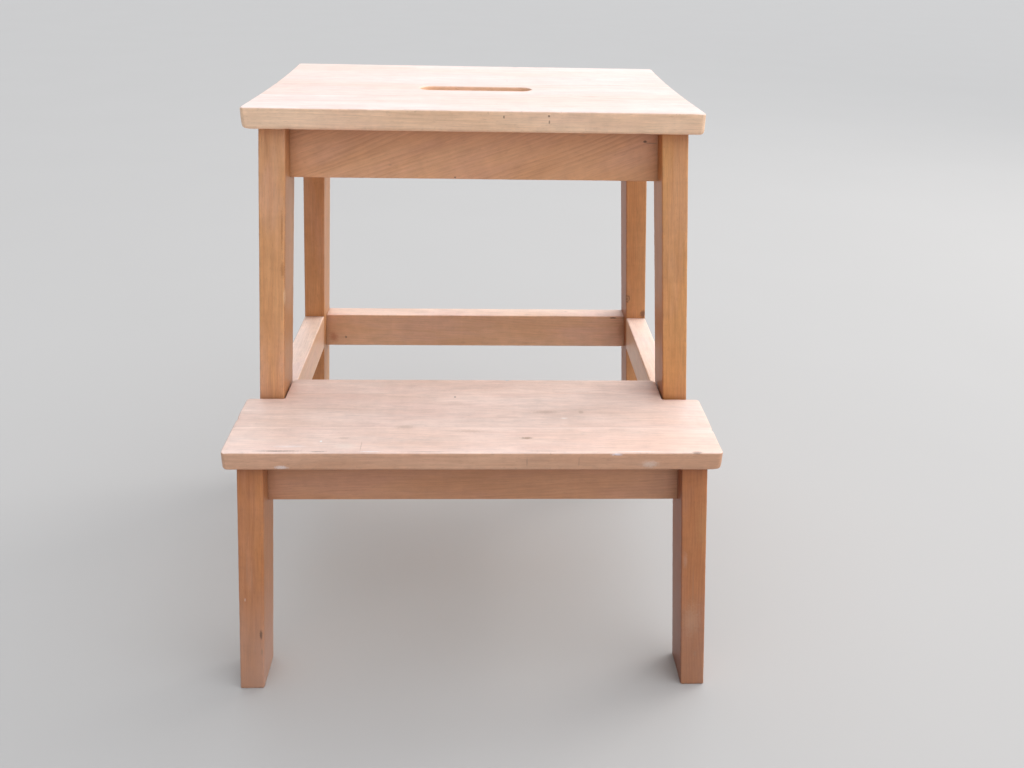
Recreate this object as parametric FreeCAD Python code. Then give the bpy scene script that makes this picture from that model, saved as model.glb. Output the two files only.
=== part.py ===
import FreeCAD, Part
import math
import os

V = FreeCAD.Vector
os.makedirs("parts", exist_ok=True)

# ---------------------------------------------------------------------------
# Two-step wooden stool.  Two glued side frames lean inwards towards the top
# and are tied together by four cross rails; a seat-like top board and a
# notched step board are screwed on from below.
#
# Frame: millimetres, +Z up, origin on the floor at the centre of the
# footprint.  The user climbs from -Y; +X is the user's right.
# ---------------------------------------------------------------------------

# overall
FOOT_WIDTH = 430.0        # across the outer faces of the feet (X)
FOOT_DEPTH = 390.0        # front of the front feet to back of the rear feet (Y)
HEIGHT = 500.0            # floor to the top board's upper face

# side frames
LEAN = 0.0875             # inward run per mm of height (5 degrees)
FRAME_T = 22.0            # thickness of every side-frame member
LEG_DEPTH = 41.4          # depth of every leg, measured along Y
FRONT_RAKE = 0.068        # lower front leg: backward run per mm of height
UPPER_RAKE = 0.068        # upper front leg: backward run per mm of height
REAR_RAKE = 0.068         # rear leg: forward run per mm of height
UPPER_FACE_Y = -75.1      # upper front leg's front face at z = UPPER_FACE_Z
UPPER_FACE_Z = 480.0
SIDE_RAIL_H = 41.0        # step-level side rail
TOP_SIDE_RAIL_H = 38.0    # seat-level side rail
EDGE_R = 1.6              # rounding along the legs and side rails

# boards
BOARD_T = 17.0
TOP_HALF_W = 183.2        # half width at the corners
TOP_WAIST = 3.0           # how far the short ends curve inwards at their middle
TOP_FRONT_Y = -87.2
TOP_BACK_Y = 171.6
TOP_CORNER_R = 4.0
BOARD_EDGE_R = 1.6        # upper edges
BOARD_UNDER_R = 3.0       # lower edges
HOLE_Y = 23.6             # hand hole's centre line
HOLE_W = 22.0
HOLE_L = 98.6
STEP_TOP_Z = 248.5
STEP_HALF_W = 204.2
STEP_FRONT_Y = -187.2
STEP_EAR_Y = -92.7        # back edge of the parts outside the upper legs
STEP_TONGUE_Y = -54.2     # back edge of the part between the upper legs
STEP_TONGUE_HALF_W = 170.6
STEP_CORNER_R = 4.0
TONGUE_CORNER_R = 6.0
NOTCH_R = 2.0

# cross rails (all plumb, ends cut to the side frames' lean)
RAIL_T = 22.0
RAIL_EDGE_R = 1.5
FRONT_APRON_Y = -58.2     # front faces
FRONT_APRON_H = 44.5
REAR_APRON_Y = 139.8
REAR_APRON_H = 38.0
STEP_APRON_Y = -164.0
STEP_APRON_H = 44.3
REAR_RAIL_Y = 156.8
REAR_RAIL_TOP_Z = 225.6
REAR_RAIL_H = 39.0

# dowels and hardware
DOWEL_R = 4.0
DOWEL_PLAY = 0.05
M6_R = 3.0
M6_HOLE_R = 3.25
HEAD_R = 6.0
HEAD_H = 4.0
HEAD_BORE_R = 6.3
HEAD_SEAT = 5.0           # head seat below the leg's outer face, on the axis
SCREW_L = 50.0
NUT_R = 5.0
NUT_L = 14.0
NUT_OFF = 26.0            # rail end to barrel nut axis
WOOD_SCREW_R = 2.0
WOOD_HEAD_R = 4.0
WOOD_SCREW_L = 35.0
WOOD_COVER = 6.0          # wood left above the screw's point

HALF_W = FOOT_WIDTH / 2.0
HALF_D = FOOT_DEPTH / 2.0
TX = FRAME_T * math.sqrt(1.0 + LEAN * LEAN)   # member thickness along X
UNDER_TOP = HEIGHT - BOARD_T
UNDER_STEP = STEP_TOP_Z - BOARD_T


# ---------------------------------------------------------------- side frame
def x_out(z):
    return HALF_W - LEAN * z


def x_in(z):
    return HALF_W - LEAN * z - TX


def x_mid(z):
    return HALF_W - LEAN * z - TX / 2.0


def front_low(z):
    return -HALF_D + FRONT_RAKE * z


def front_up(z):
    return UPPER_FACE_Y + UPPER_RAKE * (z - UPPER_FACE_Z)


def rear_face(z):
    return HALF_D - LEG_DEPTH - REAR_RAKE * z


def member(yz):
    """Right-hand side-frame member from its outline seen from the side."""
    pts = [V(x_out(z), y, z) for y, z in yz]
    face = Part.Face(Part.makePolygon(pts + [pts[0]]))
    s = face.extrude(V(-TX, 0, 0))
    return s if s.Volume > 0 else s.reversed()


def long_edges(shape, along, cosine=0.97, least=0.6):
    """Edges that run along a direction, and are most of the piece's length."""
    d = V(*along)
    d.normalize()
    found = []
    longest = 0.0
    for e in shape.Edges:
        if len(e.Vertexes) != 2:
            continue
        v = e.Vertexes[1].Point - e.Vertexes[0].Point
        if v.Length < 1e-6:
            continue
        if abs(v.dot(d)) / v.Length > cosine:
            found.append(e)
            longest = max(longest, v.Length)
    return [e for e in found if e.Length > least * longest]


def soften(shape, r, edges):
    out = shape.makeFillet(r, edges)
    if not out.isValid() or out.Volume <= 0:
        raise RuntimeError("fillet failed")
    return out


def foot_edges(shape):
    return [e for e in shape.Edges
            if all(abs(v.Point.z) < 1e-6 for v in e.Vertexes)]


def leg(front, z0, z1, rake, foot=False):
    yz = [(front(z0), z0), (front(z0) + LEG_DEPTH, z0),
          (front(z1) + LEG_DEPTH, z1), (front(z1), z1)]
    s = member(yz)
    s = soften(s, EDGE_R, long_edges(s, (-LEAN, rake, 1.0)))
    if foot:
        s2 = s.makeChamfer(1.0, foot_edges(s))
        if s2.isValid() and s2.Volume > 0:
            s = s2
    return s


def side_rail(y_front, y_back, z0, z1):
    yz = [(y_front(z0), z0), (y_back(z0), z0), (y_back(z1), z1), (y_front(z1), z1)]
    s = member(yz)
    return soften(s, EDGE_R, long_edges(s, (0, 1, 0)))


rear_leg = leg(rear_face, 0.0, UNDER_TOP, -REAR_RAKE, True)
lower_leg = leg(front_low, 0.0, UNDER_STEP, FRONT_RAKE, True)
upper_leg = leg(front_up, UNDER_STEP, UNDER_TOP, UPPER_RAKE)
rail_low = side_rail(lambda z: front_low(z) + LEG_DEPTH, rear_face,
                     UNDER_STEP - SIDE_RAIL_H, UNDER_STEP)
rail_top = side_rail(lambda z: front_up(z) + LEG_DEPTH, rear_face,
                     UNDER_TOP - TOP_SIDE_RAIL_H, UNDER_TOP)


# --------------------------------------------------------------- cross rails
def cross_rail(y, z0, z1):
    pts = [V(-x_in(z0), y, z0), V(x_in(z0), y, z0), V(x_in(z1), y, z1), V(-x_in(z1), y, z1)]
    s = Part.Face(Part.makePolygon(pts + [pts[0]])).extrude(V(0, RAIL_T, 0))
    if s.Volume < 0:
        s = s.reversed()
    return soften(s, RAIL_EDGE_R, long_edges(s, (1, 0, 0)))


RAILS = {
    "front_apron": (FRONT_APRON_Y, UNDER_TOP - FRONT_APRON_H, UNDER_TOP),
    "rear_apron": (REAR_APRON_Y, UNDER_TOP - REAR_APRON_H, UNDER_TOP),
    "step_apron": (STEP_APRON_Y, UNDER_STEP - STEP_APRON_H, UNDER_STEP),
    "rear_rail": (REAR_RAIL_Y, REAR_RAIL_TOP_Z - REAR_RAIL_H, REAR_RAIL_TOP_Z),
}
rails = {n: cross_rail(*a) for n, a in RAILS.items()}


# -------------------------------------------------------------------- boards
def rounded_wire(points, z):
    """Closed wire through plan points (x, y, corner radius); a point whose
    radius is None is the middle of an arc between its two neighbours."""
    n = len(points)

    def corner(i):
        x, y, r = points[i]
        p = V(x, y, z)

        def away(j, step):
            q = points[j % n]
            if q[2] is None:
                # tangent of the arc through corner, middle, next corner
                a, m, b = V(x, y, z), V(q[0], q[1], z), points[(j + step) % n]
                arc = Part.Arc(a, m, V(b[0], b[1], z)).toShape()
                t = arc.tangentAt(arc.FirstParameter)
                if (arc.valueAt(arc.FirstParameter) - a).Length > 1e-6:
                    t = arc.tangentAt(arc.LastParameter).multiply(-1)
                return t, True
            d = V(q[0] - x, q[1] - y, 0)
            d.normalize()
            return d, False
        return p, r, away(i - 1, -1), away(i + 1, 1)

    ends = {}
    for i, pt in enumerate(points):
        if pt[2] is None:
            continue
        p, r, (d0, _), (d1, _) = corner(i)
        d0 = V(d0.x, d0.y, 0)
        d0.normalize()
        d1 = V(d1.x, d1.y, 0)
        d1.normalize()
        cosang = max(-1.0, min(1.0, d0.dot(d1)))
        half = math.acos(cosang) / 2.0
        cut = r / math.tan(half)
        a = p + V(d0).multiply(cut)
        b = p + V(d1).multiply(cut)
        bis = d0 + d1
        bis.normalize()
        c = p + V(bis).multiply(r / math.sin(half))
        m = c - V(bis).multiply(r)
        ends[i] = (a, m, b)
    edges = []
    for i, pt in enumerate(points):
        if pt[2] is None:
            continue
        a, m, b = ends[i]
        edges.append(Part.Arc(a, m, b).toShape())
        j = (i + 1) % n
        if points[j][2] is None:
            k = (j + 1) % n
            mid = V(points[j][0], points[j][1], z)
            edges.append(Part.Arc(b, mid, ends[k][0]).toShape())
        else:
            edges.append(Part.LineSegment(b, ends[j][0]).toShape())
    return Part.Wire(Part.__sortEdges__(edges))


def level_edges(shape, z):
    out = []
    for e in shape.Edges:
        bb = e.BoundBox
        if abs(bb.ZMin - z) < 1e-4 and abs(bb.ZMax - z) < 1e-4:
            out.append(e)
    return out


TOP_MID_Y = (TOP_FRONT_Y + TOP_BACK_Y) / 2.0
top_outline = [
    (-TOP_HALF_W, TOP_FRONT_Y, TOP_CORNER_R),
    (TOP_HALF_W, TOP_FRONT_Y, TOP_CORNER_R),
    (TOP_HALF_W - TOP_WAIST, TOP_MID_Y, None),
    (TOP_HALF_W, TOP_BACK_Y, TOP_CORNER_R),
    (-TOP_HALF_W, TOP_BACK_Y, TOP_CORNER_R),
    (-TOP_HALF_W + TOP_WAIST, TOP_MID_Y, None),
]
top_board = Part.Face(rounded_wire(top_outline, UNDER_TOP)).extrude(V(0, 0, BOARD_T))

hr = HOLE_W / 2.0
hx = HOLE_L / 2.0 - hr
slot = Part.makeBox(2 * hx, HOLE_W, 60, V(-hx, HOLE_Y - hr, UNDER_TOP - 20))
slot = slot.fuse(Part.makeCylinder(hr, 60, V(-hx, HOLE_Y, UNDER_TOP - 20)))
slot = slot.fuse(Part.makeCylinder(hr, 60, V(hx, HOLE_Y, UNDER_TOP - 20))).removeSplitter()
top_board = top_board.cut(slot)
top_board = soften(top_board, BOARD_EDGE_R, level_edges(top_board, HEIGHT))
top_board = soften(top_board, BOARD_UNDER_R, level_edges(top_board, UNDER_TOP))

step_outline = [
    (-STEP_HALF_W, STEP_FRONT_Y, STEP_CORNER_R),
    (STEP_HALF_W, STEP_FRONT_Y, STEP_CORNER_R),
    (STEP_HALF_W, STEP_EAR_Y, STEP_CORNER_R),
    (STEP_TONGUE_HALF_W, STEP_EAR_Y, NOTCH_R),
    (STEP_TONGUE_HALF_W, STEP_TONGUE_Y, TONGUE_CORNER_R),
    (-STEP_TONGUE_HALF_W, STEP_TONGUE_Y, TONGUE_CORNER_R),
    (-STEP_TONGUE_HALF_W, STEP_EAR_Y, NOTCH_R),
    (-STEP_HALF_W, STEP_EAR_Y, STEP_CORNER_R),
]
step_board = Part.Face(rounded_wire(step_outline, UNDER_STEP)).extrude(V(0, 0, BOARD_T))
step_board = soften(step_board, BOARD_EDGE_R, level_edges(step_board, STEP_TOP_Z))
step_board = soften(step_board, BOARD_UNDER_R, level_edges(step_board, UNDER_STEP))


# ----------------------------------------------------- dowels (plain beech)
def rod(a, b, r, chamfer=0.8):
    d = b - a
    c = Part.makeCylinder(r, d.Length, a, d)
    if chamfer:
        ends = [e for e in c.Edges if len(e.Vertexes) == 1 or e.Closed]
        ends = [e for e in ends if e.Curve.TypeId == "Part::GeomCircle"]
        c = c.makeChamfer(chamfer, ends)
    return c


def drill(a, b, r, extra=0.5):
    d = b - a
    u = V(d)
    u.normalize()
    return Part.makeCylinder(r, d.Length + 2 * extra, a - u.multiply(extra), d)


frame_dowels = []       # right-hand side frame
frame_holes = []
rail_dowels = []        # both ends of every cross rail
rail_holes = []


def frame_dowel(a, b):
    frame_dowels.append(rod(a, b, DOWEL_R - DOWEL_PLAY))
    frame_holes.append(drill(a, b, DOWEL_R))


# lower front leg to side rail, side rail to rear leg
z_mid = UNDER_STEP - SIDE_RAIL_H / 2.0
for dz in (-10.0, 10.0):
    z = z_mid + dz
    y0 = front_low(z) + LEG_DEPTH
    frame_dowel(V(x_mid(z), y0 - 9.0, z), V(x_mid(z), y0 + 18.0, z))
    y1 = rear_face(z)
    frame_dowel(V(x_mid(z), y1 - 18.0, z), V(x_mid(z), y1 + 15.0, z))
# seat-level side rail to both legs
z_mid = UNDER_TOP - TOP_SIDE_RAIL_H / 2.0
for dz in (-9.5, 9.5):
    z = z_mid + dz
    y0 = front_up(z) + LEG_DEPTH
    frame_dowel(V(x_mid(z), y0 - 7.0, z), V(x_mid(z), y0 + 18.0, z))
    y1 = rear_face(z)
    frame_dowel(V(x_mid(z), y1 - 18.0, z), V(x_mid(z), y1 + 15.0, z))
# upper front leg standing on the side rail
for dy in (-10.0, 10.0):
    y = front_up(UNDER_STEP) + LEG_DEPTH / 2.0 + dy
    a = V(x_mid(UNDER_STEP - 18.0), y, UNDER_STEP - 18.0)
    b = V(x_mid(UNDER_STEP + 18.0), y, UNDER_STEP + 18.0)
    frame_dowel(a, b)

# cross rail ends: two dowels and one connector screw each
connector_screws = []
connector_holes = []
barrel_nuts = []
nut_holes = []


def connector(y, z, nut_from_back=True):
    """Socket-head screw along X through the right leg into a barrel nut."""
    xs = x_out(z) - HEAD_SEAT
    body = Part.makeCylinder(M6_R, SCREW_L, V(xs, y, z), V(-1, 0, 0))
    tip = [e for e in body.Edges if e.Curve.TypeId == "Part::GeomCircle"
           and abs(e.Curve.Center.x - (xs - SCREW_L)) < 1e-6]
    body = body.makeChamfer(0.8, tip)
    head = Part.makeCylinder(HEAD_R, HEAD_H, V(xs, y, z), V(1, 0, 0))
    rim = [e for e in head.Edges if e.Curve.TypeId == "Part::GeomCircle"
           and abs(e.Curve.Center.x - (xs + HEAD_H)) < 1e-6]
    head = head.makeFillet(0.7, rim)
    af = 5.0
    hexp = []
    for k in range(7):
        a = math.radians(60 * k + 30)
        hexp.append(V(xs + HEAD_H + 1, y + af / math.sqrt(3) * math.cos(a),
                      z + af / math.sqrt(3) * math.sin(a)))
    socket = Part.Face(Part.makePolygon(hexp)).extrude(V(-3.6, 0, 0))
    connector_screws.append(body.fuse(head).cut(socket).removeSplitter())
    bore = Part.makeCylinder(M6_HOLE_R, SCREW_L + 3.0, V(xs + 0.5, y, z), V(-1, 0, 0))
    seat = Part.makeCylinder(HEAD_BORE_R, 20.0, V(xs, y, z), V(1, 0, 0))
    connector_holes.append(bore.fuse(seat))
    # barrel nut, put in from the rail's back face
    xn = x_in(z) - NUT_OFF
    nut = Part.makeCylinder(NUT_R - 0.05, NUT_L, V(xn, y - NUT_L / 2.0, z), V(0, 1, 0))
    rims = [e for e in nut.Edges if e.Curve.TypeId == "Part::GeomCircle"]
    nut = nut.makeChamfer(0.5, rims)
    nut = nut.cut(Part.makeCylinder(M6_R + 0.05, 20, V(xn - 10, y, z), V(1, 0, 0)))
    nut = nut.cut(Part.makeBox(8.0, 1.6, 1.4, V(xn - 4.0, y + NUT_L / 2.0 - 1.2, z - 0.7)))
    barrel_nuts.append(nut)
    nut_holes.append(Part.makeCylinder(NUT_R, 30.0, V(xn, y - NUT_L / 2.0, z), V(0, 1, 0)))


for name, (y, z0, z1) in RAILS.items():
    yc = y + RAIL_T / 2.0
    zc = (z0 + z1) / 2.0
    off = 13.0 if z1 - z0 > 40 else 12.0
    for dz in (-off, off):
        z = zc + dz
        a = V(x_in(z) - 20.0, yc, z)
        b = V(x_in(z) + 12.0, yc, z)
        rail_dowels.append(rod(a, b, DOWEL_R - DOWEL_PLAY))
        rail_holes.append(drill(a, b, DOWEL_R))
    connector(yc, zc)


def mirror(s):
    return s.mirror(V(0, 0, 0), V(1, 0, 0))


# board screws, from below
top_screws = []
step_screws = []
top_screw_holes = []
step_screw_holes = []


def wood_screw(x, y, board_top, store, holes):
    """Pan-head screw standing in a counterbore that opens downwards."""
    zs = board_top - WOOD_COVER - WOOD_SCREW_L
    shank = Part.makeCylinder(WOOD_SCREW_R, WOOD_SCREW_L - 5.0, V(x, y, zs))
    point = Part.makeCone(WOOD_SCREW_R, 0.4, 5.0, V(x, y, zs + WOOD_SCREW_L - 5.0))
    head = Part.makeCylinder(WOOD_HEAD_R, 2.6, V(x, y, zs - 2.6))
    rim = [e for e in head.Edges if e.Curve.TypeId == "Part::GeomCircle"
           and abs(e.Curve.Center.z - (zs - 2.6)) < 1e-6]
    head = head.makeFillet(1.4, rim)
    s = shank.fuse(point).fuse(head)
    s = s.cut(Part.makeBox(4.4, 1.0, 2.4, V(x - 2.2, y - 0.5, zs - 3.0)))
    s = s.cut(Part.makeBox(1.0, 4.4, 2.4, V(x - 0.5, y - 2.2, zs - 3.0)))
    store.append(s.removeSplitter())
    h = Part.makeCylinder(WOOD_SCREW_R + 0.05, WOOD_SCREW_L + 1.0, V(x, y, zs - 0.5))
    holes.append(h.fuse(Part.makeCylinder(WOOD_HEAD_R + 0.5, 30.0, V(x, y, zs - 30.0))))


for sx in (-1, 1):
    wood_screw(sx * 85.0, FRONT_APRON_Y + RAIL_T / 2, HEIGHT,
               top_screws, top_screw_holes)
    wood_screw(sx * 85.0, REAR_APRON_Y + RAIL_T / 2, HEIGHT,
               top_screws, top_screw_holes)
    wood_screw(sx * 110.0, STEP_APRON_Y + RAIL_T / 2, STEP_TOP_Z,
               step_screws, step_screw_holes)
    wood_screw(sx * x_mid(211.0), -108.0, STEP_TOP_Z,
               step_screws, step_screw_holes)


# ------------------------------------------------------------ cut and export
def cut_all(shape, tools):
    near = [t for t in tools if shape.BoundBox.intersect(t.BoundBox)]
    for t in near:
        shape = shape.cut(t)
    return shape


right_tools = frame_holes + rail_holes + connector_holes
both_tools = right_tools + [mirror(t) for t in right_tools]
all_nuts = nut_holes + [mirror(t) for t in nut_holes]
board_holes = top_screw_holes + step_screw_holes

nodes = {}
for side, flip in (("right", False), ("left", True)):
    for base, s in (("rear_leg", rear_leg), ("lower_front_leg", lower_leg),
                    ("upper_front_leg", upper_leg)):
        body = cut_all(s, right_tools)
        nodes["%s_%s" % (base, side)] = mirror(body) if flip else body
    for base, s in (("side_rail", rail_low), ("top_side_rail", rail_top)):
        body = cut_all(s, right_tools + step_screw_holes)
        nodes["%s_%s" % (base, side)] = mirror(body) if flip else body
    group = [mirror(s) for s in frame_dowels] if flip else frame_dowels
    nodes["side_frame_dowels_%s" % side] = Part.makeCompound(group)
    group = [mirror(s) for s in connector_screws] if flip else connector_screws
    nodes["connector_screws_%s" % side] = Part.makeCompound(group)

for n, s in rails.items():
    nodes[n] = cut_all(s, both_tools + all_nuts + board_holes)

nodes["top_board"] = cut_all(top_board, top_screw_holes)
nodes["step_board"] = cut_all(step_board, step_screw_holes)
nodes["rail_dowels"] = Part.makeCompound(rail_dowels + [mirror(s) for s in rail_dowels])
nodes["barrel_nuts"] = Part.makeCompound(barrel_nuts + [mirror(s) for s in barrel_nuts])
nodes["top_board_screws"] = Part.makeCompound(top_screws)
nodes["step_board_screws"] = Part.makeCompound(step_screws)

for n, s in sorted(nodes.items()):
    if s.ShapeType == "Compound" and len(s.Solids) == 1:
        s = s.Solids[0]
    if not s.isValid():
        raise RuntimeError(n + " is not valid")
    s.exportStep("parts/%s.step" % n)
    print("%-28s solids %2d  volume %10.1f mm3" % (n, len(s.Solids), sum(x.Volume for x in s.Solids)))
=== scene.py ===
import math

import bmesh
import bpy
import numpy as np
from mathutils import Matrix, Vector, noise
from mathutils.bvhtree import BVHTree
from mathutils.kdtree import KDTree


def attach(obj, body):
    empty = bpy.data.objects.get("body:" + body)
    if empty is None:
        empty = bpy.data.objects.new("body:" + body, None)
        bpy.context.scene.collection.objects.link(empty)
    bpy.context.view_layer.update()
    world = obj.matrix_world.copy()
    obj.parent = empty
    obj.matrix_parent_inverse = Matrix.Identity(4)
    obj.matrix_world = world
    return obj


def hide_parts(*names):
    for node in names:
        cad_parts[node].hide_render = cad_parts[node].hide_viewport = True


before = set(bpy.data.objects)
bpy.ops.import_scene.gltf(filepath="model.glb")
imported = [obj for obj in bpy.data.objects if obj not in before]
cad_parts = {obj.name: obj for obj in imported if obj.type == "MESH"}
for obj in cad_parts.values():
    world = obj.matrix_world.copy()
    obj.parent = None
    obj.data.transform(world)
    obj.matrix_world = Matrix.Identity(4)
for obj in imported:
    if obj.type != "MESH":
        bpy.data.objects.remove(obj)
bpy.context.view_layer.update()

scene = bpy.context.scene
MM = 0.001


# ---------------------------------------------------------------- camera
def make_camera():
    """The viewing angle: from the front, above the top board, looking down at 27 degrees."""
    pi, ya, ro = (math.radians(a) for a in (27.0063, 2.3715, 1.2503))
    fw = Vector((math.sin(ya) * math.cos(pi), math.cos(ya) * math.cos(pi), -math.sin(pi)))
    rt = Vector((math.cos(ya), -math.sin(ya), 0.0))
    up = rt.cross(fw)
    right = rt * math.cos(ro) + up * math.sin(ro)
    upward = up * math.cos(ro) - rt * math.sin(ro)
    cam = bpy.data.cameras.new("camera")
    cam.sensor_width = 36.0
    cam.lens = 31.042
    cam.clip_start, cam.clip_end = 0.02, 100.0
    o = bpy.data.objects.new("camera", cam)
    scene.collection.objects.link(o)
    m = Matrix.Identity(4)
    for i, v in enumerate((right, upward, -fw)):
        for j in range(3):
            m[j][i] = v[j]
    m.translation = Vector((0.003976, -0.798363, 0.623281))
    o.matrix_world = m
    scene.camera = o


make_camera()


# ---------------------------------------------------------------- meshes
def cut(bm, normal, spacing, lo=None, hi=None):
    """Cuts every face by planes across normal, one spacing apart, so that the faces can take fine relief."""
    n = Vector(normal).normalized()
    ds = [v.co.dot(n) for v in bm.verts]
    a, b = (min(ds) if lo is None else lo), (max(ds) if hi is None else hi)
    k = max(1, round((b - a) / (spacing * 1.0)))
    left = list(bm.faces)
    for i in range(1, k):
        d = a + (b - a) * i / k
        geom = set(left)
        for f in left:
            geom.update(f.edges)
            geom.update(f.verts)
        got = bmesh.ops.bisect_plane(bm, geom=list(geom), dist=2e-6, plane_co=n * d, plane_no=n)
        left = [g for g in got["geom"] if isinstance(g, bmesh.types.BMFace) and g.is_valid
                and max(v.co.dot(n) for v in g.verts) > d + 4e-6]


def vnoise(p, scale, seed):
    q = Vector((p.x / scale[0] + seed, p.y / scale[1] + seed * 0.7, p.z / scale[2] - seed * 1.3))
    return noise.noise(q)


WOOD_NODES = [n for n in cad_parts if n.endswith("_board") or "_leg_" in n or "_rail" in n or n.endswith("apron")]
WOOD_NODES = sorted(n for n in WOOD_NODES if "dowels" not in n)


def tree_of(names):
    verts, polys = [], []
    for n in names:
        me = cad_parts[n].data
        base = len(verts)
        verts += [v.co.copy() for v in me.vertices]
        polys += [[base + i for i in p.vertices] for p in me.polygons]
    return BVHTree.FromPolygons(verts, polys)


def wood_piece(node, cuts, wear=1.0, seed=0.0, dents=()):
    """The visible form of one member: its CAD form with worn, uneven arrises, faces that are no longer quite flat, and
    real dents.
    Everything goes inwards, so that the piece stays inside its CAD form. Point attributes: wear on the arrises, grime
    with painted contact shade at the joints, and painted shade under the boards."""
    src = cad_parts[node]
    bm = bmesh.new()
    bm.from_mesh(src.data)
    bmesh.ops.remove_doubles(bm, verts=list(bm.verts), dist=3e-6)
    bmesh.ops.dissolve_limit(bm, angle_limit=math.radians(0.3), use_dissolve_boundaries=False,
                             verts=list(bm.verts), edges=list(bm.edges))
    for normal, spacing in cuts:
        cut(bm, normal, spacing)
    for at, radius in [(d[0], d[1]) for d in dents]:
        near = [f for f in bm.faces if (f.calc_center_median() - Vector(at)).length < radius * 2.2]
        es = set(e for f in near for e in f.edges)
        if es:
            bmesh.ops.subdivide_edges(bm, edges=list(es), cuts=1, use_grid_fill=True)
    big = [f for f in bm.faces if len(f.verts) > 4]
    if big:
        bmesh.ops.triangulate(bm, faces=big)
    bm.normal_update()
    bm.verts.ensure_lookup_table()
    # how much the surface turns at each vertex
    turn = np.zeros(len(bm.verts))
    for i, v in enumerate(bm.verts):
        ns = [f.normal for f in v.link_faces if f.calc_area() > 1e-12]
        if len(ns) > 1:
            turn[i] = max(ns[0].angle(m, 0.0) for m in ns[1:])
    lively = np.clip(turn / 0.20, 0, 1)
    kd = KDTree(len(bm.verts))
    hot = [i for i in range(len(bm.verts)) if lively[i] > 0.5]
    for i in hot:
        kd.insert(bm.verts[i].co, i)
    kd.balance()
    others = tree_of([m for m in WOOD_NODES if m != node])
    boards = tree_of([m for m in WOOD_NODES if m != node and m.endswith("_board")])
    wear_v, joint_grime_and_shade_v, overhang_painted_shade_v, moves = [], [], [], []
    for i, v in enumerate(bm.verts):
        p = v.co
        edge = 0.0
        if hot:
            _, _, d = kd.find(p)
            edge = math.exp(-(d / 0.0022) ** 2)
        hit = others.find_nearest(p, 0.02)
        gap = hit[3] if hit[0] is not None else 0.02
        # grime with painted contact shade: darker the closer another member is
        joint_grime_and_shade_v.append(math.exp(-gap / 0.0030))
        # painted shade under the boards: strongest close to a board, fading with distance from it
        over = boards.find_nearest(p, 0.08)
        overhang_painted_shade_v.append(math.exp(-over[3] / 0.011) if over[0] is not None else 0.0)
        n1 = 0.5 + 0.5 * vnoise(p, (0.012, 0.012, 0.012), seed + 3.1)
        n2 = 0.5 + 0.5 * vnoise(p, (0.045, 0.045, 0.045), seed + 9.4)
        n3 = 0.5 + 0.5 * vnoise(p, (0.004, 0.004, 0.004), seed + 5.7)
        wear_v.append(min(1.0, edge * (0.35 + 0.9 * n1)))
        push = 0.00010 * n2
        push += wear * edge * (0.00022 * n1 * n1 + 0.00010 * n3)
        for at, radius, depth in dents:
            d = (p - Vector(at)).length / radius
            if d < 2.2:
                push += depth * math.exp(-d * d * 1.6)
        moves.append(push)
    for i, v in enumerate(bm.verts):
        if v.co.z > 0.0004:
            v.co -= v.normal * moves[i]
    me = bpy.data.meshes.new(node + "_worn")
    bm.to_mesh(me)
    bm.free()
    me.polygons.foreach_set("use_smooth", [True] * len(me.polygons))
    me.set_sharp_from_angle(angle=math.radians(34))
    for name, values in (("wear", wear_v), ("joint_grime_and_shade", joint_grime_and_shade_v), ("overhang_painted_shade", overhang_painted_shade_v)):
        a = me.attributes.new(name, "FLOAT", "POINT")
        a.data.foreach_set("value", values)
    o = bpy.data.objects.new(node + "_worn", me)
    scene.collection.objects.link(o)
    w = o.modifiers.new("normals", "WEIGHTED_NORMAL")
    w.keep_sharp = True
    w.weight = 60
    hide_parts(node)
    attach(o, "root")
    return o


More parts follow.
